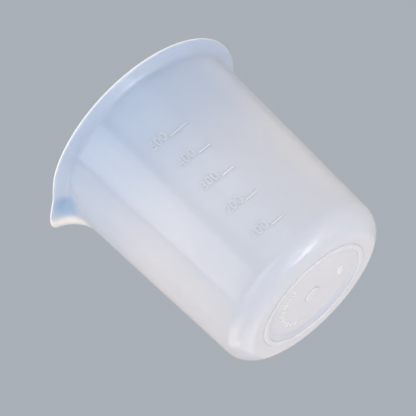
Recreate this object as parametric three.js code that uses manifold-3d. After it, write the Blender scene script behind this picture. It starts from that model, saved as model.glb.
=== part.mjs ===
// Low-form laboratory beaker, one injection-moulded piece of natural polypropylene.
// Millimetres, +Z up, standing on its foot ring. The spout points to -X and the graduation faces -Y.
// The origin is the middle of the footprint, spout included, on the plane that the beaker stands on.
import * as THREE from "three";
import { mergeVertices } from "three/addons/utils/BufferGeometryUtils.js";
import Module from "manifold-3d";

// Vessel
const HEIGHT = 117.5;
const WALL = 1.5;
const FLOOR = 1.8;
const BODY_RADIUS = 44.5; // outside of the wall, carried down to the table
const DRAFT = THREE.MathUtils.degToRad(2.55); // lean of the wall that lets it leave the mould
const BASE_CORNER = 10.8; // outside radius between wall and base

// Brim: the straight wall bends out and ends in a round lip
const BRIM_BEND = 6.75; // radius in the middle of the thickness
const BRIM_LEAN = THREE.MathUtils.degToRad(78); // of the brim at the lip, from upright
const BRIM_EDGE = 1; // straight part between bend and lip

// Spout, drawn out of the wall and the brim: a trough that widens upwards
const SPOUT_RISE = 18.2; // from its root to the lip
const SPOUT_REACH = 6; // beyond the brim
const SPOUT_DROP = 2.3; // below the brim
const SPOUT_HALF_ANGLE = THREE.MathUtils.degToRad(16.9); // of the trough at the lip
const SPOUT_ROOT_SHARE = 0.66; // width of the trough at its root, over that at the lip
const SPOUT_CURL = 1.87; // exponent of its keel: 2 is a parabola, more turns out later

// Flanks beside the trough, tucked inside the round wall as far as a fold
const FOLD_AT_LIP = THREE.MathUtils.degToRad(31); // from the middle of the spout
const FOLD_AT_ROOT = THREE.MathUtils.degToRad(17);
const FOLD_CURL = 1.8; // how early the fold leans away from the spout
const TUCK_AT_LIP = 0.35;
const TUCK_BELLY = 0.4; // extra depth two thirds of the way up the spout
const TUCK_PEAK = 27 / 4; // makes the deepest place of such a hump count as 1

// Foot ring, pocket and gate pad under the base
const RING_RADIUS = 28.7; // middle of the face that the beaker stands on
const RING_FACE = 1.4; // width of that face
const RING_HEIGHT = 0.75;
const POCKET_RADIUS = 24.8;
const POCKET_DEPTH = 1.7; // from the table
const PAD_RADIUS = 4.3;
const PAD_HEIGHT = 0.7;

// Graduation: one half-round bar for each step of volume, to the right of the front centre line
const STEP_VOLUME = 100e3; // 100 ml in cubic millimetres
const STEPS = 5;
const BAR_PROUD = 0.4;
const BAR_LENGTH = 6.6;
const TOP_BAR_LENGTH = 10.4;
const BAR_END = THREE.MathUtils.degToRad(12.5); // right-hand end of every bar, from the centre line

// Fineness of the facets
const MERIDIANS = 96;
const SPOUT_CROWDING = 0.5; // how much closer the meridians stand at the spout
const CORNER_STEPS = 7;
const ROOT_STEPS = 5; // of the wall from the spout's root to the brim
const BEND_STEPS = 6;
const LIP_STEPS = 4;
const EDGE_STEPS = 3;
const BAR_SIDES = 8;
const BAR_STEPS = 6;

const FLOOR_TOP = POCKET_DEPTH + FLOOR;
const LIP_HEIGHT = HEIGHT - WALL / 2; // middle of the lip's round
const SPOUT_ROOT = LIP_HEIGHT - SPOUT_RISE;
const SPOUT_DIRECTION = Math.PI;
const FRONT = -Math.PI / 2;
const QUARTER = Math.PI / 2;

// Points of an arc in the section plane, with both ends.
function arc(centreRadius, centreHeight, radius, from, to, steps) {
  const curve = new THREE.EllipseCurve(
    centreRadius, centreHeight, radius, radius, from, to, to < from,
  );
  return curve.getPoints(steps);
}

// A face of the wall, set back from its outside by a depth square to it.
function wallRadius(height, depth) {
  return BODY_RADIUS + height * Math.tan(DRAFT) - depth / Math.cos(DRAFT);
}

// The round between a horizontal face and a face of the wall, tangent to both.
function baseRound(level, depth, radius) {
  const centre = level + radius;
  return arc(wallRadius(centre, depth + radius), centre, radius, -QUARTER, -DRAFT, CORNER_STEPS);
}

// 1 in the middle of a span of directions, easing to 0 at its ends.
function swell(turn, halfAngle) {
  return Math.abs(turn) < halfAngle ? (1 + Math.cos((Math.PI * turn) / halfAngle)) / 2 : 0;
}

// The middle of the thickness away from the spout, from the height of the spout's root to the lip.
function rimLine() {
  const rise = BRIM_BEND * (Math.sin(BRIM_LEAN) - Math.sin(DRAFT));
  const bendStart = LIP_HEIGHT - BRIM_EDGE * Math.cos(BRIM_LEAN) - rise;
  const straight = [];
  for (let step = 0; step < ROOT_STEPS; step++) {
    const height = SPOUT_ROOT + ((bendStart - SPOUT_ROOT) * step) / ROOT_STEPS;
    straight.push(new THREE.Vector2(wallRadius(height, WALL / 2), height));
  }
  const bend = arc(
    wallRadius(bendStart, WALL / 2) + BRIM_BEND * Math.cos(DRAFT),
    bendStart - BRIM_BEND * Math.sin(DRAFT),
    BRIM_BEND, Math.PI - DRAFT, Math.PI - BRIM_LEAN, BEND_STEPS,
  );
  const edge = new THREE.Vector2(Math.sin(BRIM_LEAN), Math.cos(BRIM_LEAN));
  return [...straight, ...bend, edge.multiplyScalar(BRIM_EDGE).add(bend.at(-1))];
}

const RIM = rimLine();
const BRIM_REACH = RIM.at(-1).x - wallRadius(LIP_HEIGHT, WALL / 2);

// How far a flank lies inside the round wall: nothing at the middle of the spout and from the fold on.
// Along is 0 at the spout's root and 1 at the lip, and turn is counted from the middle of the spout.
function tuck(along, turn) {
  const climb = 1 - Math.max(1 - along, 0) ** FOLD_CURL;
  const fold = FOLD_AT_ROOT + (FOLD_AT_LIP - FOLD_AT_ROOT) * climb;
  const across = Math.min(Math.abs(turn) / fold, 1);
  const depth = (TUCK_AT_LIP + TUCK_BELLY * TUCK_PEAK * (1 - along)) * along ** 2;
  return depth * TUCK_PEAK * across ** 2 * (1 - across);
}

// A point of the rim's line where it stands in one direction, drawn out into the spout.
function drawn(point, turn) {
  const along = (point.y - SPOUT_ROOT) / SPOUT_RISE;
  const curl = Math.max(along, 0) ** SPOUT_CURL;
  const widening = SPOUT_ROOT_SHARE + (1 - SPOUT_ROOT_SHARE) * along;
  const spout = swell(turn, SPOUT_HALF_ANGLE * widening);
  const wall = wallRadius(point.y, WALL / 2);
  const keel = wall + (BRIM_REACH + SPOUT_REACH) * curl;
  return new THREE.Vector2(
    THREE.MathUtils.lerp(point.x, keel, spout) - tuck(along, turn),
    point.y - SPOUT_DROP * curl * spout,
  );
}

// The rim's line in one direction, as points and outward normals.
function rimIn(turn) {
  const line = RIM.map((point) => drawn(point, turn));
  return line.map((point, index) => {
    const above = line[Math.min(index + 1, line.length - 1)];
    const slope = above.clone().sub(line[Math.max(index - 1, 0)]);
    return { point, normal: new THREE.Vector2(slope.y, -slope.x).normalize() };
  });
}

// Underside from the axis to the foot ring's outer edge.
function footSection() {
  const face = RING_FACE / 2;
  const inner = RING_RADIUS - face;
  const outer = RING_RADIUS + face;
  return [
    new THREE.Vector2(0, POCKET_DEPTH - PAD_HEIGHT),
    ...arc(PAD_RADIUS - PAD_HEIGHT, POCKET_DEPTH, PAD_HEIGHT, -QUARTER, 0, EDGE_STEPS),
    new THREE.Vector2(POCKET_RADIUS, POCKET_DEPTH),
    ...arc(inner, RING_HEIGHT, RING_HEIGHT, -Math.PI, -QUARTER, EDGE_STEPS),
    ...arc(outer, RING_HEIGHT, RING_HEIGHT, -QUARTER, 0, EDGE_STEPS),
  ];
}

// Inside of the vessel from its floor to the straight wall.
function insideRound() {
  return baseRound(FLOOR_TOP, WALL, BASE_CORNER - WALL);
}

// The whole section of the wall in one direction, from the axis under the base to the axis on the floor.
function section(turn) {
  const rim = rimIn(turn);
  const lip = rim.at(-1);
  const lean = lip.normal.angle();
  const offset = (side) =>
    rim.slice(0, -1).map(({ point, normal }) => point.clone().addScaledVector(normal, side));
  return [
    ...footSection(),
    ...baseRound(RING_HEIGHT, 0, BASE_CORNER),
    ...offset(WALL / 2),
    ...arc(lip.point.x, lip.point.y, WALL / 2, lean - 2 * Math.PI, lean - Math.PI, LIP_STEPS),
    ...offset(-WALL / 2).reverse(),
    ...insideRound().reverse(),
    new THREE.Vector2(0, FLOOR_TOP),
  ];
}

// The vessel: turned from the section opposite the spout, then each meridian redrawn for its direction.
function vesselGeometry() {
  const turned = new THREE.LatheGeometry(section(Math.PI), MERIDIANS);
  const place = turned.getAttribute("position");
  for (let meridian = 0; meridian <= MERIDIANS; meridian++) {
    const even = ((meridian % MERIDIANS) / MERIDIANS) * 2 * Math.PI;
    const crowded = even - SPOUT_CROWDING * Math.sin(even);
    const line = section(crowded > Math.PI ? crowded - 2 * Math.PI : crowded);
    const azimuth = SPOUT_DIRECTION + crowded;
    line.forEach(({ x, y }, index) =>
      place.setXYZ(
        meridian * line.length + index, x * Math.cos(azimuth), x * Math.sin(azimuth), y,
      ),
    );
  }
  return turned;
}

// Volume held below a height, from the cones between the points of the inside.
function volumeBelow(level) {
  const inside = [...insideRound(), new THREE.Vector2(wallRadius(HEIGHT, WALL), HEIGHT)];
  const disc = inside[0];
  let lower = new THREE.Vector2(disc.x, FLOOR_TOP);
  let volume = 0;
  for (const upper of inside.slice(1)) {
    const reached = Math.min(level, upper.y);
    if (reached <= lower.y) {
      break;
    }
    const share = (reached - lower.y) / (upper.y - lower.y);
    const radius = lower.x + share * (upper.x - lower.x);
    volume += (Math.PI / 3) * (reached - lower.y) * (lower.x ** 2 + lower.x * radius + radius ** 2);
    lower = upper;
  }
  return volume;
}

// The height at which the beaker holds a volume, found by halving.
function levelOf(volume) {
  let low = FLOOR_TOP;
  let high = HEIGHT;
  while (high - low > 1e-4) {
    const middle = (low + high) / 2;
    if (volumeBelow(middle) < volume) {
      low = middle;
    } else {
      high = middle;
    }
  }
  return low;
}

// A level arc on the outside of the wall, ending at the bars' common right-hand end.
class BarLine extends THREE.Curve {
  constructor(level, length) {
    super();
    this.level = level;
    this.radius = wallRadius(level, 0);
    this.sweep = length / this.radius;
  }

  getPoint(along, target = new THREE.Vector3()) {
    const azimuth = FRONT + BAR_END - (1 - along) * this.sweep;
    return target.set(
      this.radius * Math.cos(azimuth), this.radius * Math.sin(azimuth), this.level,
    );
  }
}

function barGeometry(level, length) {
  const outline = new THREE.EllipseCurve(0, 0, BAR_PROUD, BAR_PROUD).getPoints(BAR_SIDES);
  const round = new THREE.Shape(outline);
  return new THREE.ExtrudeGeometry(round, {
    steps: BAR_STEPS,
    extrudePath: new BarLine(level, length),
    curveSegments: BAR_SIDES,
  });
}

const wasm = await Module();
wasm.setup();

function solidFrom(geometry) {
  geometry.deleteAttribute("normal");
  geometry.deleteAttribute("uv");
  const merged = mergeVertices(geometry, 1e-3);
  return new wasm.Manifold(
    new wasm.Mesh({
      numProp: 3,
      vertProperties: merged.getAttribute("position").array,
      triVerts: new Uint32Array(merged.index.array),
    }),
  );
}

function geometryFrom(solid) {
  const { vertProperties, triVerts } = solid.getMesh();
  const geometry = new THREE.BufferGeometry();
  geometry.setAttribute("position", new THREE.BufferAttribute(vertProperties, 3));
  geometry.setIndex(new THREE.BufferAttribute(triVerts, 1));
  geometry.computeVertexNormals();
  return geometry;
}

let vessel = solidFrom(vesselGeometry());
for (let step = 1; step <= STEPS; step++) {
  const length = step === STEPS ? TOP_BAR_LENGTH : BAR_LENGTH;
  vessel = vessel.add(solidFrom(barGeometry(levelOf(step * STEP_VOLUME), length)));
}

const polypropylene = new THREE.MeshStandardMaterial({
  color: new THREE.Color().setRGB(0.83, 0.85, 0.88, THREE.SRGBColorSpace),
  roughness: 0.4,
  metalness: 0,
});

const body = new THREE.Mesh(geometryFrom(vessel), polypropylene);
body.name = "beaker_body";
body.position.x = SPOUT_REACH / 2;

const beaker = new THREE.Group();
beaker.add(body);

export default beaker;
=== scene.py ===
"""Laboratory beaker of natural polypropylene: its fine surface, finish, light and camera."""

import logging
import math
from dataclasses import dataclass, field
from enum import Enum

import bpy
import numpy as np
from mathutils import Matrix, Vector


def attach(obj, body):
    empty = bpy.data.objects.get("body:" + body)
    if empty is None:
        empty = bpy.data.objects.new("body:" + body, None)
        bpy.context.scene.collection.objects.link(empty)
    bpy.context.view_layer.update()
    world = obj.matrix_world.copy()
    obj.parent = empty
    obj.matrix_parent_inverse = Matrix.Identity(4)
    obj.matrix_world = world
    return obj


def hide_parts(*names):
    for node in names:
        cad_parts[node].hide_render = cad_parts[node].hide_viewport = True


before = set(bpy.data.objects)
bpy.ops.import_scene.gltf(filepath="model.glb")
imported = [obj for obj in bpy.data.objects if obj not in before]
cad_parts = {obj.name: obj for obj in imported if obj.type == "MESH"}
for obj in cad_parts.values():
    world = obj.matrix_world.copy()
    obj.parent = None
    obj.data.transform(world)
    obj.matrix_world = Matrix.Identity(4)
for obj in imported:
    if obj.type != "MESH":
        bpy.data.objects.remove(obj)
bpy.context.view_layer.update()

LOG = logging.getLogger("beaker")

Colour = tuple[float, float, float]
Socket = bpy.types.NodeSocket
Inputs = dict[str | int, Socket | float | tuple[float, ...]]
Outputs = bpy.types.bpy_prop_collection

# In metres, cubic metres and radians.
MICROMETRE = 1e-6
MILLILITRE = 1e-6
SMOOTH_BELOW = math.radians(35)

AMBER: Colour = (1.0, 0.72, 0.45)
CREAM: Colour = (1.0, 0.89, 0.78)
SKY: Colour = (0.78, 0.9, 1.0)


class Axis(Enum):
    """The direction of a push, as the Displace modifier names it."""

    X = "X"
    Y = "Y"
    Z = "Z"


class Anchor(Enum):
    """The point of a line of text that stands at the origin."""

    MIDDLE = "CENTER"
    END = "RIGHT"


class Blend(Enum):
    """How the second colour of a mix acts on the first."""

    REPLACE = "MIX"
    TINT = "MULTIPLY"


class Sum(Enum):
    """What a node works out from its numbers."""

    MAGNITUDE = "ABSOLUTE"
    DIFFERENCE = "SUBTRACT"
    PRODUCT = "MULTIPLY"
    PRODUCT_PLUS = "MULTIPLY_ADD"
    LARGEST = "MAXIMUM"


def pick_only(piece: bpy.types.Object) -> None:
    """Deselects everything but one piece and makes it the active one.

    Args:
        piece: The piece that stays picked.
    """
    bpy.ops.object.select_all(action="DESELECT")
    piece.select_set(True)
    bpy.context.view_layer.objects.active = piece


def direction(azimuth: float, elevation: float) -> Vector:
    """Turns an angle about the upright axis and one above the table into a unit vector."""
    level = Vector((math.cos(azimuth), math.sin(azimuth), 0))
    return math.cos(elevation) * level + math.sin(elevation) * Vector((0, 0, 1))


def swell(turn: float, half_angle: float) -> float:
    """Eases from 1 in the middle of a span of directions to 0 at its half angle."""
    return (1 + math.cos(math.pi * turn / half_angle)) / 2 if abs(turn) < half_angle else 0.0


def arc(centre: Vector, radius: float, start: float, end: float, steps: int) -> list[Vector]:
    """Lays points along an arc of the section plane, from its start angle to its end angle."""
    angles = [start + (end - start) * step / steps for step in range(steps + 1)]
    return [centre + radius * Vector((math.cos(angle), math.sin(angle))) for angle in angles]


@dataclass(frozen=True)
class Wiring:
    """The nodes of one material, one group or the room."""

    tree: bpy.types.NodeTree

    def feed(self, node: bpy.types.Node, inputs: Inputs) -> None:
        """Feeds a node.

        Args:
            node: The node.
            inputs: The socket or the fixed value for each input, by its name or place.
        """
        for label, value in inputs.items():
            if isinstance(value, Socket):
                self.tree.links.new(value, node.inputs[label])
            else:
                node.inputs[label].default_value = value

    def add(self, kind: str, inputs: Inputs, **options: str | bpy.types.NodeTree) -> Outputs:
        """Adds a node.

        Args:
            kind: Its kind.
            inputs: The socket or the fixed value for each input, by its name or place.
            **options: Its own options.

        Returns:
            Its outputs.
        """
        node = self.tree.nodes.new(kind)
        for option, choice in options.items():
            setattr(node, option, choice)
        self.feed(node, inputs)
        return node.outputs

    def place(self) -> Socket:
        """Reads the place on the piece."""
        return self.add("ShaderNodeTexCoord", {})["Object"]

    def parts(self, vector: Socket) -> Outputs:
        """Takes a place or a direction apart into X, Y and Z."""
        return self.add("ShaderNodeSeparateXYZ", {0: vector})

    def work_out(self, wanted: Sum, *values: Socket | float) -> Socket:
        """Works out a sum."""
        return self.add("ShaderNodeMath", dict(enumerate(values)), operation=wanted.value)[0]

    def ease(self, value: Socket, none: Socket | float, full: Socket | float) -> Socket:
        """Turns a measure into a soft mask, from 0 at one measure to 1 at another."""
        ends = {"Value": value, "From Min": none, "From Max": full}
        return self.add("ShaderNodeMapRange", ends, interpolation_type="SMOOTHSTEP")["Result"]

    def mix(self, blend: Blend, share: Socket, first: Socket, second: Socket) -> Socket:
        """Lets a second colour act on the first by a share."""
        given = {"Factor": share, "A": first, "B": second}
        return self.add("ShaderNodeMix", given, data_type="RGBA", blend_type=blend.value)["Result"]

    def noise(self, place: Socket, size: float, detail: float) -> Socket:
        """Adds a random pattern with patches of a size in metres and finer ones within them."""
        pattern = {"Vector": place, "Scale": 1 / size, "Detail": detail}
        return self.add("ShaderNodeTexNoise", pattern)["Fac"]


@dataclass(frozen=True)
class SkinGroup:
    """The shader group behind every moulded surface: milky colour with painted shade at the top,
    satin gloss, fine grain.
    """

    name: str = "moulded_skin"
    cloud_size: float = 0.03
    cloud_from: float = 0.3
    cloud_to: float = 0.7
    gloss_patch_size: float = 0.012
    ripple_size: float = 0.02
    ripple_depth: float = 0.0004
    grain_size: float = 0.0005
    grain_depth: float = 0.00001
    line_size: float = 0.0011
    line_stretch: float = 0.02
    pattern_middle: float = 0.5

    def build(self) -> bpy.types.NodeTree:
        """Builds the group once.

        Returns:
            The node group with its named inputs and outputs.
        """
        tree = bpy.data.node_groups.new(self.name, "ShaderNodeTree")
        levels = ("Shade From Level", "Shade Full Level", "Cloud")
        finish = ("Roughness", "Roughness Spread", "Ripple", "Grain", "Draw Lines")
        for way, kind, labels in (
            ("INPUT", "NodeSocketColor", ("Lower Colour", "Shaded Top Colour")),
            ("INPUT", "NodeSocketFloat", (*levels, *finish)),
            ("OUTPUT", "NodeSocketColor", ("Color",)),
            ("OUTPUT", "NodeSocketFloat", ("Roughness",)),
            ("OUTPUT", "NodeSocketVector", ("Normal",)),
        ):
            for label in labels:
                tree.interface.new_socket(label, in_out=way, socket_type=kind)
        nodes = Wiring(tree)
        given = nodes.add("NodeGroupInput", {})
        place = nodes.place()
        surface = {
            "Color": self.colour(nodes, given, place),
            "Roughness": self.gloss(nodes, given, place),
            "Normal": self.relief(nodes, given, place),
        }
        nodes.add("NodeGroupOutput", surface)
        return tree

    def colour(self, nodes: Wiring, given: Outputs, place: Socket) -> Socket:
        """Fades the lower colour into a darker, bluer one towards the top, which is painted shade,
        with faint clouds.

        Args:
            nodes: The group's nodes.
            given: The group's inputs.
            place: The place on the piece.

        Returns:
            The colour.
        """
        level = nodes.parts(place)["Z"]
        # Painted shade: the colour turns darker and bluer between these two heights.
        top_shade = nodes.ease(level, given["Shade From Level"], given["Shade Full Level"])
        body = nodes.mix(Blend.REPLACE, top_shade, given["Lower Colour"], given["Shaded Top Colour"])
        shade = {
            "Value": nodes.noise(place, self.cloud_size, detail=3.0),
            "From Min": self.cloud_from,
            "From Max": self.cloud_to,
            "To Min": nodes.work_out(Sum.DIFFERENCE, 1.0, given["Cloud"]),
        }
        milky = {0: body, "Scale": nodes.add("ShaderNodeMapRange", shade)["Result"]}
        return nodes.add("ShaderNodeVectorMath", milky, operation="SCALE")["Vector"]

    def gloss(self, nodes: Wiring, given: Outputs, place: Socket) -> Socket:
        """Lets the roughness swing in patches and in upright draw lines.

        Args:
            nodes: The group's nodes.
            given: The group's inputs.
            place: The place on the piece.

        Returns:
            The roughness.
        """
        patch = nodes.noise(place, self.gloss_patch_size, detail=4.0)
        patchy = self.swing(nodes, patch, given["Roughness Spread"], given["Roughness"])
        stretch = {0: place, 1: (1, 1, self.line_stretch)}
        upright = nodes.add("ShaderNodeVectorMath", stretch, operation="MULTIPLY")["Vector"]
        lines = nodes.noise(upright, self.line_size, detail=2.0)
        return self.swing(nodes, lines, given["Draw Lines"], patchy)

    def relief(self, nodes: Wiring, given: Outputs, place: Socket) -> Socket:
        """Bends the normals with the moulding's broad ripple and its fine grain.

        Args:
            nodes: The group's nodes.
            given: The group's inputs.
            place: The place on the piece.

        Returns:
            The normal.
        """
        ripple = {
            "Strength": given["Ripple"],
            "Distance": self.ripple_depth,
            "Height": nodes.noise(place, self.ripple_size, detail=1.0),
        }
        grain = {
            "Strength": given["Grain"],
            "Distance": self.grain_depth,
            "Height": nodes.noise(place, self.grain_size, detail=2.0),
            "Normal": nodes.add("ShaderNodeBump", ripple)["Normal"],
        }
        return nodes.add("ShaderNodeBump", grain)["Normal"]

    def swing(self, nodes: Wiring, pattern: Socket, reach: Socket, middle: Socket) -> Socket:
        """Lets a value swing about its middle with a pattern, as far as it may reach."""
        centred = nodes.work_out(Sum.DIFFERENCE, pattern, self.pattern_middle)
        return nodes.work_out(Sum.PRODUCT_PLUS, centred, reach, middle)


@dataclass(frozen=True)
class SpoutGroup:
    """The shader group behind the drawn spout: painted shade on its flanks, a painted highlight
    under its keel.
    """

    name: str = "spout_painted_light"
    flank: tuple[float, float, float] = (-0.0485, 0.0095, 0.1125)
    flank_core: float = 0.002
    flank_reach: float = 0.0085
    keel_core: float = 0.0025
    keel_reach: float = 0.0065
    keel_start: float = -0.0455
    keel_full: float = -0.0475
    keel_level: float = 0.05
    keel_down: float = -0.25

    def build(self) -> bpy.types.NodeTree:
        """Builds the group once.

        Returns:
            The node group, which takes a colour and gives it back tinted.
        """
        tree = bpy.data.node_groups.new(self.name, "ShaderNodeTree")
        for label in ("Color", "Flank Shade Tint", "Keel Highlight Color"):
            tree.interface.new_socket(label, in_out="INPUT", socket_type="NodeSocketColor")
        tree.interface.new_socket("Color", in_out="OUTPUT", socket_type="NodeSocketColor")
        nodes = Wiring(tree)
        given = nodes.add("NodeGroupInput", {})
        parts = nodes.parts(nodes.place())
        aside = nodes.work_out(Sum.MAGNITUDE, parts["Y"])
        flanks = self.flanks(nodes, parts, aside)
        # Painted shade: the flanks are tinted darker and bluer.
        shaded_flanks = nodes.mix(Blend.TINT, flanks, given["Color"], given["Flank Shade Tint"])
        keel = self.keel(nodes, parts, aside)
        # Painted highlight: the keel's underside, where it faces down, takes a lighter, warmer
        # colour.
        keel_highlighted = nodes.mix(Blend.REPLACE, keel, shaded_flanks, given["Keel Highlight Color"])
        nodes.add("NodeGroupOutput", {"Color": keel_highlighted})
        return tree

    def flanks(self, nodes: Wiring, parts: Outputs, aside: Socket) -> Socket:
        """Masks both flanks, which are each other's mirror image, for the painted shade.

        Args:
            nodes: The group's nodes.
            parts: The place on the piece, taken apart.
            aside: The distance from the middle plane.

        Returns:
            The mask.
        """
        folded = nodes.add("ShaderNodeCombineXYZ", {0: parts["X"], 1: aside, 2: parts["Z"]})[0]
        ends = {0: folded, 1: self.flank}
        gap = nodes.add("ShaderNodeVectorMath", ends, operation="DISTANCE")["Value"]
        return nodes.ease(gap, self.flank_reach, self.flank_core)

    def keel(self, nodes: Wiring, parts: Outputs, aside: Socket) -> Socket:
        """Masks the underside of the keel, beyond the wall and facing down, for the painted
        highlight.

        Args:
            nodes: The group's nodes.
            parts: The place on the piece, taken apart.
            aside: The distance from the middle plane.

        Returns:
            The mask.
        """
        line = nodes.ease(aside, self.keel_reach, self.keel_core)
        beyond_wall = nodes.ease(parts["X"], self.keel_start, self.keel_full)
        facing = nodes.parts(nodes.add("ShaderNodeNewGeometry", {})["Normal"])["Z"]
        below = nodes.ease(facing, self.keel_level, self.keel_down)
        outside = nodes.work_out(Sum.PRODUCT, line, beyond_wall)
        return nodes.work_out(Sum.PRODUCT, outside, below)


@dataclass(frozen=True)
class MilkyPlastic:
    """Natural polypropylene: painted shade makes it darker and bluer towards the top."""

    name: str
    # The colour fades from the lower one to the shaded top one between two heights: painted shade,
    # darker and bluer towards the top.
    thick_colour: Colour = (0.70, 0.701, 0.765)
    thin_colour: Colour = (0.515, 0.586, 0.725)
    thick_level: float = 0.045
    thin_level: float = 0.108
    cloud: float = 0.03
    roughness: float = 0.1
    roughness_spread: float = 0.05
    ripple: float = 0.25
    grain: float = 0.35
    draw_lines: float = 0.03
    milkiness: float = 0.8
    scatter: Colour = (1.0, 0.9, 0.8)
    scatter_scale: float = 0.004
    refraction: float = 1.49
    sheen: float = 0.1
    sheen_tint: Colour = AMBER
    # A darker, bluer tint for the painted shade on the spout's flanks.
    flank_tint: Colour = (0.77, 0.88, 0.97)
    # A lighter, warmer colour for the painted highlight under the spout's keel.
    keel_colour: Colour = (0.82, 0.79, 0.785)

    def build(self, skin: bpy.types.NodeTree, spout: bpy.types.NodeTree) -> bpy.types.Material:
        """Builds the finish.

        Args:
            skin: The node group behind every moulded surface.
            spout: The node group behind the drawn spout.

        Returns:
            The finished material.
        """
        material = bpy.data.materials.new(self.name)
        material.use_nodes = True
        nodes = Wiring(material.node_tree)
        moulded = {
            "Lower Colour": (*self.thick_colour, 1),
            "Shaded Top Colour": (*self.thin_colour, 1),
            "Shade From Level": self.thick_level,
            "Shade Full Level": self.thin_level,
            "Cloud": self.cloud,
            "Roughness": self.roughness,
            "Roughness Spread": self.roughness_spread,
            "Ripple": self.ripple,
            "Grain": self.grain,
            "Draw Lines": self.draw_lines,
        }
        surface = nodes.add("ShaderNodeGroup", moulded, node_tree=skin)
        drawn = {
            "Color": surface["Color"],
            "Flank Shade Tint": (*self.flank_tint, 1),
            "Keel Highlight Color": (*self.keel_colour, 1),
        }
        plastic = {
            "Base Color": nodes.add("ShaderNodeGroup", drawn, node_tree=spout)["Color"],
            "Roughness": surface["Roughness"],
            "Normal": surface["Normal"],
            "IOR": self.refraction,
            "Subsurface Weight": self.milkiness,
            "Subsurface Radius": self.scatter,
            "Subsurface Scale": self.scatter_scale,
            "Sheen Weight": self.sheen,
            "Sheen Tint": (*self.sheen_tint, 1),
        }
        nodes.feed(material.node_tree.nodes["Principled BSDF"], plastic)
        return material


PLASTIC = MilkyPlastic("milky_polypropylene")
# A lighter, even colour for the painted highlight along the lip's tip.
LIP_HIGHLIGHT = MilkyPlastic(
    "polypropylene_lip_highlight", thick_colour=(0.84, 0.845, 0.86), thin_colour=(0.84, 0.845, 0.86)
)
RELIEF = MilkyPlastic(
    "polypropylene_relief",
    thick_colour=(0.76, 0.77, 0.81),
    thin_colour=(0.66, 0.70, 0.78),
    milkiness=0.0,
)
# Near white, whiter than the plastic it is moulded in: partly the raised plastic's own colour,
# partly painted highlight for glints on the figures.
MOULD_MARK_AND_GLINT = MilkyPlastic(
    "polypropylene_mould_mark_and_glint",
    thick_colour=(1.0, 0.99, 0.97),
    thin_colour=(1.0, 0.99, 0.97),
    milkiness=0.0,
)


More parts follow.
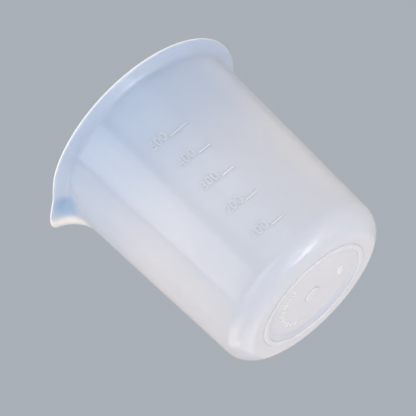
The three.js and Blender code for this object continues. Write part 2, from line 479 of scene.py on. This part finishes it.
@dataclass
class Vessel:
    """The moulded vessel: a section turned about the upright axis, its spout drawn out of it."""

    height: float = 0.11748
    wall: float = 0.0015
    floor: float = 0.0018
    body_radius: float = 0.0445
    draft: float = math.radians(2.55)
    base_corner: float = 0.0108
    brim_bend: float = 0.0056
    brim_lean: float = math.radians(64)
    brim_edge: float = 0.00379
    spout_rise: float = 0.0182
    spout_reach: float = 0.006
    spout_drop: float = 0.0023
    spout_half_angle: float = math.radians(16.9)
    spout_root_share: float = 0.66
    spout_curl: float = 1.87
    spout_direction: float = math.pi
    fold_at_lip: float = math.radians(31)
    fold_at_root: float = math.radians(17)
    fold_curl: float = 1.8
    tuck_at_lip: float = 0.00035
    tuck_belly: float = 0.0004
    ring_radius: float = 0.0287
    ring_face: float = 0.0014
    ring_height: float = 0.00075
    pocket_radius: float = 0.0248
    pocket_edge: float = 0.001
    pocket_depth: float = 0.0017
    pad_radius: float = 0.0043
    pad_height: float = 0.0007
    # How far out along the brim, past the end of its middle line, the painted highlight on the lip
    # begins.
    white_from: float = 0.00035
    meridians: int = 384
    corner_steps: int = 24
    solid_corner_steps: int = 7
    wall_steps: int = 12
    root_steps: int = 23
    bend_steps: int = 22
    brim_steps: int = 5
    lip_steps: int = 10
    edge_steps: int = 8

    @property
    def axis_x(self) -> float:
        """Distance of the vessel's own axis from the middle of its footprint."""
        return self.spout_reach / 2

    @property
    def lip_height(self) -> float:
        """Height of the middle of the lip's round."""
        return self.height - self.wall / 2

    @property
    def spout_root(self) -> float:
        """Height at which the spout leaves the wall."""
        return self.lip_height - self.spout_rise

    @property
    def floor_top(self) -> float:
        """Height of the floor inside."""
        return self.pocket_depth + self.floor

    def wall_radius(self, height: float, depth: float) -> float:
        """Distance from the axis to the face that lies a depth below the wall's outside."""
        return self.body_radius + height * math.tan(self.draft) - depth / math.cos(self.draft)

    def base_round(self, level: float, depth: float, radius: float, steps: int) -> list[Vector]:
        """Lays the round between a level face and a face of the wall.

        Args:
            level: Height of the level face.
            depth: Depth of the wall's face below its outside.
            radius: Radius of the round.
            steps: Number of its stretches.

        Returns:
            The points from the level face to the wall.
        """
        centre = level + radius
        middle = Vector((self.wall_radius(centre, depth + radius), centre))
        return arc(middle, radius, -math.pi / 2, -self.draft, steps)

    def rim_middle(self) -> list[Vector]:
        """Draws the middle of the thickness away from the spout.

        Returns:
            The points from the height of the spout's root to the lip.
        """
        # The slope eases into the bend and out of it, and each stretch takes the one at its middle.
        bend = [Vector((0, 0))]
        for step in range(self.bend_steps):
            share = (step + 0.5) / self.bend_steps
            eased = share * share * (3 - 2 * share)
            slope = self.draft + (self.brim_lean - self.draft) * eased
            ahead = Vector((math.sin(slope), math.cos(slope)))
            bend.append(bend[-1] + self.brim_bend / self.bend_steps * ahead)
        edge = self.brim_edge * Vector((math.sin(self.brim_lean), math.cos(self.brim_lean)))
        bend_start = self.lip_height - edge.y - bend[-1].y
        root = Vector((self.wall_radius(self.spout_root, self.wall / 2), self.spout_root))
        start = Vector((self.wall_radius(bend_start, self.wall / 2), bend_start))
        end = start + bend[-1]
        return [
            *(root.lerp(start, step / self.root_steps) for step in range(self.root_steps)),
            *(start + point for point in bend),
            *(end + edge * (step + 1) / self.brim_steps for step in range(self.brim_steps)),
        ]

    def drawn(self, point: Vector, turn: float, brim_reach: float) -> Vector:
        """Draws a point of the rim's middle line out into the spout or in beside it.

        Args:
            point: The point away from the spout.
            turn: The direction, counted from the middle of the spout.
            brim_reach: How far the lip stands out beyond the wall.

        Returns:
            Distance from the axis and height.
        """
        along = max(point.y - self.spout_root, 0.0) / self.spout_rise
        curl = along**self.spout_curl
        widening = self.spout_root_share + (1 - self.spout_root_share) * along
        spout = swell(turn, self.spout_half_angle * widening)
        wall = self.wall_radius(point.y, self.wall / 2)
        keel = wall + (brim_reach + self.spout_reach) * curl
        radius = point.x + (keel - point.x) * spout - self.tuck(turn, along)
        return Vector((radius, point.y - self.spout_drop * curl * spout))

    def rim(self, turn: float) -> list[Vector]:
        """Draws both faces and the lip's round in one direction.

        Args:
            turn: The direction, counted from the middle of the spout.

        Returns:
            The points from the height of the spout's root outside to the same height inside.
        """
        half = self.wall / 2
        plain = self.rim_middle()
        brim_reach = plain[-1].x - self.wall_radius(self.lip_height, half)
        line = [self.drawn(point, turn, brim_reach) for point in plain]
        slopes = [after - before for before, after in zip([line[0], *line], [*line[1:], line[-1]])]
        outwards = [Vector((slope.y, -slope.x)).normalized() for slope in slopes]
        lean = math.atan2(outwards[-1].y, outwards[-1].x)
        faces = list(zip(line, outwards))[:-1]
        return [
            *(point + half * outward for point, outward in faces),
            *arc(line[-1], half, lean, lean + math.pi, self.lip_steps),
            *(point - half * outward for point, outward in reversed(faces)),
        ]

    def inside_round(self, steps: int) -> list[Vector]:
        """Lays the round between the floor and the wall inside, in a number of stretches."""
        return self.base_round(self.floor_top, self.wall, self.base_corner - self.wall, steps)

    def section(self) -> list[Vector]:
        """Draws the section of the plain vessel.

        Returns:
            The points from the axis under the base to the axis inside.
        """
        face = self.ring_face / 2
        quarter = math.pi / 2
        foot = [
            Vector((0, self.pocket_depth - self.pad_height)),
            *arc(
                Vector((self.pad_radius - self.pad_height, self.pocket_depth)),
                self.pad_height, -quarter, 0, self.edge_steps,
            ),
            Vector((self.pocket_radius - self.pocket_edge, self.pocket_depth)),
            Vector((self.pocket_radius, self.pocket_depth)),
            *arc(
                Vector((self.ring_radius - face, self.ring_height)),
                self.ring_height, -math.pi, -quarter, self.edge_steps,
            ),
            *arc(
                Vector((self.ring_radius + face, self.ring_height)),
                self.ring_height, -quarter, 0, self.edge_steps,
            ),
        ]
        outside = self.base_round(self.ring_height, 0, self.base_corner, self.corner_steps)
        inside = self.inside_round(self.corner_steps)
        rim = self.rim(math.pi)
        return [
            *foot,
            *outside,
            *self.between(outside[-1], rim[0]),
            *rim,
            *self.between(rim[-1], inside[-1]),
            *reversed(inside),
            Vector((0, self.floor_top)),
        ]

    def between(self, first: Vector, last: Vector) -> list[Vector]:
        """Lays even points between two others, without either."""
        steps = self.wall_steps
        return [first.lerp(last, step / steps) for step in range(1, steps)]

    def volume_below(self, level: float) -> float:
        """Adds up the cones between the points of the solid's inside.

        Args:
            level: Height that the liquid stands at.

        Returns:
            The volume that the vessel then holds, in cubic metres.
        """
        mouth = Vector((self.wall_radius(self.height, self.wall), self.height))
        inside = [*self.inside_round(self.solid_corner_steps), mouth]
        volume = 0.0
        for lower, upper in zip(inside, inside[1:]):
            depth = min(level, upper.y) - lower.y
            if depth <= 0:
                break
            radius = lower.lerp(upper, depth / (upper.y - lower.y)).x
            volume += math.pi / 3 * depth * (lower.x**2 + lower.x * radius + radius**2)
        return volume

    def level_of(self, volume: float) -> float:
        """Finds the height at which the vessel holds a volume, by halving.

        Args:
            volume: The volume in cubic metres.

        Returns:
            The height above the table, to a hundredth of a millimetre.
        """
        low, high = self.floor_top, self.height
        while high - low > MICROMETRE:
            middle = (low + high) / 2
            low, high = (middle, high) if self.volume_below(middle) < volume else (low, middle)
        fine = 10 * MICROMETRE
        return fine * round(low / fine)

    def turn(self) -> bpy.types.Object:
        """Draws the section as a chain of edges and spins it about the vessel's axis.

        Returns:
            The plain vessel, without its spout.
        """
        points = self.section()
        # The circle shrinks to a single vertex, from which the chain grows.
        bpy.ops.object.select_all(action="DESELECT")
        bpy.ops.mesh.primitive_circle_add(vertices=3, radius=self.wall, location=(0, 0, 0))
        vessel = bpy.context.object
        vessel.name = "beaker_vessel"
        bpy.ops.object.mode_set(mode="EDIT")
        bpy.ops.mesh.merge(type="CENTER")
        first = points[0]
        bpy.ops.transform.translate(value=(self.axis_x + first.x, 0, first.y))
        for before, point in zip(points, points[1:]):
            step = point - before
            bpy.ops.mesh.extrude_region_move(TRANSFORM_OT_translate={"value": (step.x, 0, step.y)})
        bpy.ops.mesh.select_all(action="SELECT")
        bpy.ops.mesh.spin(
            steps=self.meridians, angle=math.tau, center=(self.axis_x, 0, 0), axis=(0, 0, 1)
        )
        bpy.ops.mesh.select_all(action="SELECT")
        bpy.ops.mesh.remove_doubles(threshold=2 * MICROMETRE)
        bpy.ops.mesh.normals_make_consistent(inside=False)
        bpy.ops.object.mode_set(mode="OBJECT")
        return vessel

    def draw_spout(self, vessel: bpy.types.Object) -> None:
        """Draws the spout out of the wall and the brim, between two flanks that lie inside them.

        Args:
            vessel: The plain vessel.
        """
        plain = np.array(self.rim(math.pi))
        # A vertex farther than this from the rim's outline belongs to the wall and stays.
        nearest = self.wall / 100
        rims: dict[int, np.ndarray] = {}
        outwards, drops, places = [], [], []
        for vertex in vessel.data.vertices:
            across, aside, height = vertex.co.x - self.axis_x, vertex.co.y, vertex.co.z
            azimuth = math.atan2(aside, across)
            turn = math.remainder(azimuth - self.spout_direction, math.tau)
            if height < self.spout_root - self.wall or abs(turn) > self.fold_at_lip:
                continue
            gaps = np.hypot(*(plain - (math.hypot(across, aside), height)).T)
            place = gaps.argmin()
            if gaps[place] > nearest:
                continue
            meridian = round(turn * self.meridians)
            if meridian not in rims:
                rims[meridian] = np.array(self.rim(turn))
            outward, rise = rims[meridian][place] - plain[place]
            places.append(vertex.index)
            outwards.append((outward * math.cos(azimuth), outward * math.sin(azimuth)))
            drops.append(rise)
        moved = np.array(outwards)
        self.push(vessel, Axis.X, places, moved[:, 0])
        self.push(vessel, Axis.Y, places, moved[:, 1])
        self.push(vessel, Axis.Z, places, np.array(drops))

    def tuck(self, turn: float, along: float) -> float:
        """Finds how far the flank beside the spout lies inside the round wall and brim.

        Args:
            turn: The direction, counted from the middle of the spout.
            along: 0 at the spout's root and 1 at the lip.

        Returns:
            The distance inwards: nothing in the middle and from the fold on.
        """
        climb = 1 - max(1 - along, 0.0) ** self.fold_curl
        fold = self.fold_at_root + (self.fold_at_lip - self.fold_at_root) * climb
        across = min(abs(turn) / fold, 1.0)
        # The curve x * x * (1 - x) is 4/27 at its highest, so this makes its peak 1.
        peak = 27 / 4
        depth = (self.tuck_at_lip + self.tuck_belly * peak * (1 - along)) * along**2
        return depth * peak * across**2 * (1 - across)

    def push(
        self, vessel: bpy.types.Object, axis: Axis, places: list[int], distances: np.ndarray
    ) -> None:
        """Pushes vertices along an axis with Displace modifiers weighted by vertex groups.

        Args:
            vessel: The vessel.
            axis: Direction of the push.
            places: Numbers of the vertices.
            distances: How far each one goes, backwards where negative.
        """
        pick_only(vessel)
        reach = float(np.abs(distances).max())
        for sign in (1, -1):
            weights = np.clip(sign * distances / reach, 0, 1)
            if not weights.any():
                continue
            group = vessel.vertex_groups.new(name=f"push_{axis.value}")
            for place, weight in zip(places, weights):
                if weight > 0:
                    group.add([place], float(weight), "REPLACE")
            pushed = vessel.modifiers.new("push", "DISPLACE")
            pushed.direction = axis.value
            pushed.mid_level = 0
            pushed.strength = sign * reach
            pushed.vertex_group = group.name
            bpy.ops.object.modifier_apply(modifier=pushed.name)
            vessel.vertex_groups.clear()

    def whiten_lip(self, vessel: bpy.types.Object) -> None:
        """Gives the tip of the lip's round the second, lighter finish: a painted highlight along
        the rim.

        Args:
            vessel: The plain vessel, before its spout is drawn.
        """
        end = self.rim_middle()[-1]
        rise = Vector((math.sin(self.brim_lean), math.cos(self.brim_lean)))
        for face in vessel.data.polygons:
            radius = math.hypot(face.center.x - self.axis_x, face.center.y)
            # Faces past this point take the lighter finish, a painted highlight.
            if (Vector((radius, face.center.z)) - end).dot(rise) > self.white_from:
                face.material_index = 1

    def build(self, finish: bpy.types.Material, edge: bpy.types.Material) -> bpy.types.Object:
        """Builds and dresses the vessel.

        Args:
            finish: The plastic's material.
            edge: The lighter material of the painted highlight on the lip's tip.

        Returns:
            The finished vessel.
        """
        vessel = self.turn()
        vessel.data.materials.append(finish)
        vessel.data.materials.append(edge)
        self.whiten_lip(vessel)
        self.draw_spout(vessel)
        pick_only(vessel)
        bpy.ops.object.shade_smooth_by_angle(angle=SMOOTH_BELOW)
        return vessel


@dataclass(frozen=True)
class RaisedText:
    """Plain raised characters: a flat outline, to be laid on the moulding and given a body."""

    height: float
    proud: float
    round_edge: float = 0.00006
    round_steps: int = 2
    round_above: float = math.radians(50)
    capital_share: float = 0.7
    curve_steps: int = 4

    def flat(self, text: str, anchor: Anchor) -> bpy.types.Object:
        """Writes the characters flat on the table, seen from above.

        Args:
            text: What to write.
            anchor: Which point of it stands at the origin.

        Returns:
            The flat outline as a mesh.
        """
        bpy.ops.object.select_all(action="DESELECT")
        bpy.ops.object.text_add(location=(0, 0, 0))
        piece = bpy.context.object
        piece.data.body = text
        piece.data.size = self.height / self.capital_share
        piece.data.align_x = anchor.value
        piece.data.align_y = "CENTER"
        piece.data.resolution_u = self.curve_steps
        bpy.ops.object.convert(target="MESH")
        piece = bpy.context.object
        bpy.ops.object.mode_set(mode="EDIT")
        bpy.ops.mesh.select_all(action="SELECT")
        bpy.ops.mesh.remove_doubles(threshold=MICROMETRE)
        bpy.ops.mesh.subdivide(number_cuts=1)
        bpy.ops.object.mode_set(mode="OBJECT")
        return piece

    def place(self, piece: bpy.types.Object, pose: Matrix) -> None:
        """Moves a flat outline to its place, in the mesh itself.

        Args:
            piece: The flat outline.
            pose: Where it goes.
        """
        pick_only(piece)
        piece.matrix_world = pose
        bpy.ops.object.transform_apply(location=True, rotation=True, scale=True)

    def thicken(self, piece: bpy.types.Object) -> None:
        """Gives an outline that lies in a surface its body, half of it sunk in.

        Args:
            piece: The outline in its place.
        """
        pick_only(piece)
        body = piece.modifiers.new("body", "SOLIDIFY")
        body.thickness = 2 * self.proud
        body.offset = 0
        bpy.ops.object.modifier_apply(modifier=body.name)
        edge = piece.modifiers.new("edge", "BEVEL")
        edge.width = self.round_edge
        edge.segments = self.round_steps
        edge.limit_method = "ANGLE"
        edge.angle_limit = self.round_above
        bpy.ops.object.modifier_apply(modifier=edge.name)


def join(parts: list[bpy.types.Object], name: str, finish: bpy.types.Material) -> bpy.types.Object:
    """Joins loose parts into one dressed piece.

    Args:
        parts: The parts.
        name: Name of the piece.
        finish: Its material.

    Returns:
        The piece.
    """
    pick_only(parts[0])
    for part in parts:
        part.select_set(True)
    bpy.ops.object.join()
    parts[0].name = name
    bpy.ops.object.shade_smooth_by_angle(angle=SMOOTH_BELOW)
    parts[0].data.materials.append(finish)
    return parts[0]


@dataclass
class Graduation:
    """Raised bars on the front of the wall, one for each step, with plain raised numbers."""

    vessel: Vessel
    step_millilitres: int = 100
    steps: int = 5
    bar_proud: float = 0.0004
    bar_length: float = 0.0066
    top_bar_length: float = 0.0104
    bar_end: float = math.radians(-77.5)
    bar_sides: int = 16
    bar_steps: int = 20
    number_gap: float = 0.0009
    figures: RaisedText = RaisedText(height=0.0046, proud=0.00014)
    figures_lift: float = 0.002

    def bar(self, level: float, length: float) -> bpy.types.Object:
        """Spins a round section along the wall and rounds off its ends.

        Args:
            level: Height of the bar.
            length: Length along the wall.

        Returns:
            The bar.
        """
        radius = self.vessel.wall_radius(level, 0)
        bpy.ops.object.select_all(action="DESELECT")
        bpy.ops.mesh.primitive_circle_add(
            vertices=self.bar_sides,
            radius=self.bar_proud,
            fill_type="NGON",
            location=(0, 0, 0),
            rotation=(math.pi / 2, 0, 0),
        )
        bar = bpy.context.object
        bpy.ops.object.transform_apply(location=True, rotation=True, scale=True)
        bpy.ops.object.mode_set(mode="EDIT")
        bpy.ops.mesh.select_all(action="SELECT")
        bpy.ops.transform.translate(value=(radius, 0, level))
        bpy.ops.mesh.spin(
            steps=self.bar_steps, angle=length / radius, center=(0, 0, 0), axis=(0, 0, 1)
        )
        bpy.ops.mesh.select_all(action="SELECT")
        bpy.ops.mesh.remove_doubles(threshold=MICROMETRE)
        bpy.ops.mesh.normals_make_consistent(inside=False)
        bpy.ops.object.mode_set(mode="OBJECT")
        bar.rotation_euler.z = self.bar_end
        bar.location.x = self.vessel.axis_x
        bpy.ops.object.transform_apply(location=True, rotation=True, scale=True)
        return bar

    def number(
        self, value: int, level: float, length: float, vessel: bpy.types.Object
    ) -> bpy.types.Object:
        """Lays a plain number on the wall to the left of its bar.

        Args:
            value: The number.
            level: Height of the bar beside it.
            length: Length of that bar.
            vessel: The finished vessel that carries the number.

        Returns:
            The number as a raised piece.
        """
        radius = self.vessel.wall_radius(level + self.figures_lift, 0)
        number = self.figures.flat(str(value), Anchor.END)
        away = Matrix.Translation((-length - self.number_gap, -radius, level + self.figures_lift))
        upright = Matrix.Rotation(math.pi / 2, 4, "X")
        round_to = Matrix.Rotation(self.bar_end + math.pi / 2, 4, "Z")
        centre = Matrix.Translation((self.vessel.axis_x, 0, 0))
        self.figures.place(number, centre @ round_to @ away @ upright)
        seat = number.modifiers.new("seat", "SHRINKWRAP")
        seat.wrap_method = "NEAREST_SURFACEPOINT"
        seat.target = vessel
        bpy.ops.object.modifier_apply(modifier=seat.name)
        self.figures.thicken(number)
        return number

    def build(self, finish: bpy.types.Material, vessel: bpy.types.Object) -> list[bpy.types.Object]:
        """Builds and dresses all bars and numbers.

        Args:
            finish: The material of raised plastic.
            vessel: The finished vessel that carries them.

        Returns:
            The bars as one piece and the numbers as another.
        """
        bars, numbers = [], []
        for step in range(1, self.steps + 1):
            millilitres = step * self.step_millilitres
            level = self.vessel.level_of(millilitres * MILLILITRE)
            length = self.top_bar_length if step == self.steps else self.bar_length
            bars.append(self.bar(level, length))
            numbers.append(self.number(millilitres, level, length, vessel))
        return [
            join(bars, "graduation_bars", finish),
            join(numbers, "graduation_numbers", finish),
        ]


@dataclass
class BaseNumbers:
    """Plain mould numbers in the pocket under the base: a row on an arc and one larger figure."""

    vessel: Vessel
    row: tuple[str, ...] = tuple(str(number) for number in range(1, 13))
    row_radius: float = 0.018
    row_start: float = math.radians(22)
    row_end: float = math.radians(153)
    row_figures: RaisedText = RaisedText(height=0.0023, proud=0.0002)
    single: str = "600"
    single_radius: float = 0.0168
    single_turn: float = math.radians(-82)
    single_figures: RaisedText = RaisedText(height=0.0032, proud=0.0002)

    def figure(self, text: str, kind: RaisedText, radius: float, turn: float) -> bpy.types.Object:
        """Lays a number in the pocket, to be read from below with its top outwards.

        Args:
            text: The number.
            kind: Its size.
            radius: Distance of its middle from the vessel's axis.
            turn: Clockwise from the +Y direction as seen from above, before it is turned over.

        Returns:
            The number as a raised piece.
        """
        piece = kind.flat(text, Anchor.MIDDLE)
        outwards = Matrix.Translation((0, radius, 0))
        round_to = Matrix.Rotation(-turn, 4, "Z")
        over = Matrix.Rotation(math.pi, 4, "Y")
        seat = Matrix.Translation((self.vessel.axis_x, 0, self.vessel.pocket_depth))
        kind.place(piece, seat @ over @ round_to @ outwards)
        kind.thicken(piece)
        return piece

    def build(self, finish: bpy.types.Material) -> bpy.types.Object:
        """Builds and dresses all the numbers.

        Args:
            finish: The material of raised plastic.

        Returns:
            The numbers as one piece.
        """
        pitch = (self.row_end - self.row_start) / (len(self.row) - 1)
        numbers = [
            self.figure(text, self.row_figures, self.row_radius, self.row_start + place * pitch)
            for place, text in enumerate(self.row)
        ]
        numbers.append(
            self.figure(self.single, self.single_figures, self.single_radius, self.single_turn)
        )
        return join(numbers, "base_numbers", finish)


@dataclass(frozen=True)
class Lamp:
    """A soft box that faces the middle of the beaker, with angles in degrees, sizes in metres."""

    name: str
    azimuth: float
    elevation: float
    distance: float
    width: float
    height: float
    brightness: float
    colour: Colour

    def build(self, aim: Vector) -> None:
        """Hangs the lamp.

        Args:
            aim: The point that the lamp faces.
        """
        away = direction(math.radians(self.azimuth), math.radians(self.elevation))
        data = bpy.data.lights.new(self.name, "AREA")
        data.shape = "RECTANGLE"
        data.size, data.size_y = self.width, self.height
        data.energy = self.brightness * math.pi * self.width * self.height
        data.color = self.colour
        lamp = bpy.data.objects.new(self.name, data)
        lamp.location = aim + self.distance * away
        lamp.rotation_euler = (-away).to_track_quat("-Z", "Y").to_euler()
        lamp.visible_camera = False
        bpy.context.scene.collection.objects.link(lamp)


@dataclass
class Studio:
    """Pale floor, even surroundings and soft boxes."""

    aim: Vector = field(default_factory=lambda: Vector((0.003, 0, 0.058)))
    floor_size: float = 6.0
    floor_colour: Colour = (0.40, 0.43, 0.47)
    floor_roughness: float = 0.9
    floor_solid: float = 0.22
    floor_gone: float = 0.80
    backdrop_colour: Colour = (0.40, 0.43, 0.47)
    room_colour: Colour = (0.53, 0.56, 0.58)
    lamps: tuple[Lamp, ...] = (
        Lamp("key_left", -143, 24, 0.35, 0.15, 0.13, 0.61, CREAM),
        Lamp("key_left_wide", -143, 20.4, 0.45, 0.32, 0.19, 1.36, (0.96, 0.99, 1.0)),
        Lamp("key_front_wide", -86, 17, 0.50, 0.40, 0.20, 0.68, SKY),
        Lamp("front_fill", -125, -18, 0.70, 0.70, 0.18, 1.75, SKY),
        Lamp("left_fill", -150, -30, 0.70, 0.50, 0.25, 0.22, SKY),
        Lamp("low_front", -55, -66, 0.50, 0.31, 0.32, 1.6, (0.92, 0.97, 1.0)),
        Lamp("low_front_core", -34, -73, 0.50, 0.10, 0.18, 3.5, (1.0, 0.97, 0.98)),
        Lamp("low_front_strip", -55, -45, 0.60, 0.60, 0.12, 0.68, SKY),
        Lamp("low_right", -10, -60, 0.60, 0.35, 0.30, 0.77, AMBER),
        Lamp("right", -30, -35, 0.80, 0.50, 0.30, 0.44, AMBER),
        Lamp("low_back", 116, -35, 0.80, 0.53, 0.40, 0.74, CREAM),
        Lamp("back_left", 148, -15, 0.70, 0.45, 0.30, 1.41, (1.0, 0.81, 0.63)),
        Lamp("low_left", 165, -25, 0.70, 0.35, 0.30, 1.09, AMBER),
        Lamp("back", 82, -15, 0.90, 0.40, 0.60, 0.32, AMBER),
        Lamp("into_mouth_left", 170, 22, 0.90, 0.50, 0.25, 0.33, AMBER),
        Lamp("into_mouth_right", 20, 24, 0.90, 0.50, 0.25, 0.36, AMBER),
        Lamp("top_right", -40, 50, 1.10, 1.00, 0.60, 1.66, (1.0, 0.83, 0.65)),
        Lamp("top_left", 170, 45, 1.10, 1.00, 0.60, 2.02, AMBER),
    )

    def floor(self) -> bpy.types.Object:
        """Lays the floor, which fades into the backdrop.

        Its underside lets the view through, because the camera looks up from below.

        Returns:
            The floor.
        """
        bpy.ops.object.select_all(action="DESELECT")
        bpy.ops.mesh.primitive_plane_add(size=self.floor_size, location=(0, 0, 0))
        floor = bpy.context.object
        floor.name = "floor"
        floor.visible_shadow = False
        floor.visible_diffuse = False
        floor.visible_glossy = False
        material = bpy.data.materials.new("pale_floor")
        material.use_nodes = True
        nodes = Wiring(material.node_tree)
        shader = material.node_tree.nodes["Principled BSDF"]
        paint = {"Base Color": (*self.floor_colour, 1), "Roughness": self.floor_roughness}
        nodes.feed(shader, paint)
        away = nodes.add("ShaderNodeVectorMath", {0: nodes.place()}, operation="LENGTH")["Value"]
        far = nodes.ease(away, self.floor_solid, self.floor_gone)
        below = nodes.add("ShaderNodeNewGeometry", {})["Backfacing"]
        unseen = nodes.work_out(Sum.LARGEST, below, far)
        clear = nodes.add("ShaderNodeBsdfTransparent", {})["BSDF"]
        choice = {0: unseen, 1: shader.outputs["BSDF"], 2: clear}
        surface = {"Surface": nodes.add("ShaderNodeMixShader", choice)["Shader"]}
        nodes.feed(material.node_tree.nodes["Material Output"], surface)
        floor.data.materials.append(material)
        return floor

    def surroundings(self) -> None:
        """Fills the room with even light and gives the view its pale backdrop."""
        world = bpy.data.worlds.new("room")
        bpy.context.scene.world = world
        world.use_nodes = True
        world.node_tree.nodes.clear()
        nodes = Wiring(world.node_tree)
        seen = nodes.add("ShaderNodeBackground", {"Color": (*self.backdrop_colour, 1)})[0]
        lighting = nodes.add("ShaderNodeBackground", {"Color": (*self.room_colour, 1)})[0]
        rays = nodes.add("ShaderNodeLightPath", {})
        through = nodes.work_out(Sum.LARGEST, rays["Is Camera Ray"], rays["Is Transmission Ray"])
        straight = nodes.work_out(Sum.LARGEST, through, rays["Is Glossy Ray"])
        choice = nodes.add("ShaderNodeMixShader", {0: straight, 1: lighting, 2: seen})
        nodes.add("ShaderNodeOutputWorld", {"Surface": choice["Shader"]})

    def build(self) -> None:
        """Sets up the floor, the surroundings and the lamps."""
        self.floor()
        self.surroundings()
        for lamp in self.lamps:
            lamp.build(self.aim)


@dataclass(frozen=True)
class Viewpoint:
    """The camera: below the beaker's foot and rolled, as the photograph has it, in degrees."""

    target: Vector = field(default_factory=lambda: Vector((-0.00156, 0.00060, 0.06702)))
    azimuth: float = -97.5
    elevation: float = -23.46
    distance: float = 0.81375
    roll: float = 46.06
    lens: float = 153.05
    sensor: float = 36
    nearest: float = 0.01
    farthest: float = 100

    def build(self) -> None:
        """Places the camera and makes it the scene's own."""
        angles = (self.azimuth, self.elevation, self.roll)
        turn, lift, roll = (math.radians(angle) for angle in angles)
        away = direction(turn, lift)
        level = Vector((-math.sin(turn), math.cos(turn), 0))
        upright = away.cross(level)
        right = math.cos(roll) * level - math.sin(roll) * upright
        up = math.sin(roll) * level + math.cos(roll) * upright
        data = bpy.data.cameras.new("camera")
        data.lens = self.lens
        data.sensor_width = self.sensor
        data.clip_start, data.clip_end = self.nearest, self.farthest
        camera = bpy.data.objects.new("camera", data)
        pose = Matrix((right, up, away)).transposed().to_4x4()
        pose.translation = self.target + self.distance * away
        camera.matrix_world = pose
        bpy.context.scene.collection.objects.link(camera)
        bpy.context.scene.camera = camera


def main() -> None:
    """Builds the beaker, its light and its camera, and reports each piece."""
    logging.basicConfig(level=logging.INFO, format="%(message)s")
    groups = SkinGroup().build(), SpoutGroup().build()
    plastic, edge, relief, mould_mark_and_glint = (
        finish.build(*groups) for finish in (PLASTIC, LIP_HIGHLIGHT, RELIEF, MOULD_MARK_AND_GLINT)
    )
    design = Vessel()
    # The edge finish paints a highlight along the lip's tip.
    vessel = design.build(plastic, edge)
    graduation = Graduation(design).build(relief, vessel)
    pieces = [vessel, *graduation, BaseNumbers(design).build(mould_mark_and_glint)]
    for piece in pieces:
        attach(piece, "root")
        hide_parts("beaker_body")
        LOG.info("%s: %d faces", piece.name, len(piece.data.polygons))
    Studio().build()
    Viewpoint().build()
    bpy.context.scene.view_settings.view_transform = "Standard"


if __name__ == "__main__":
    main()
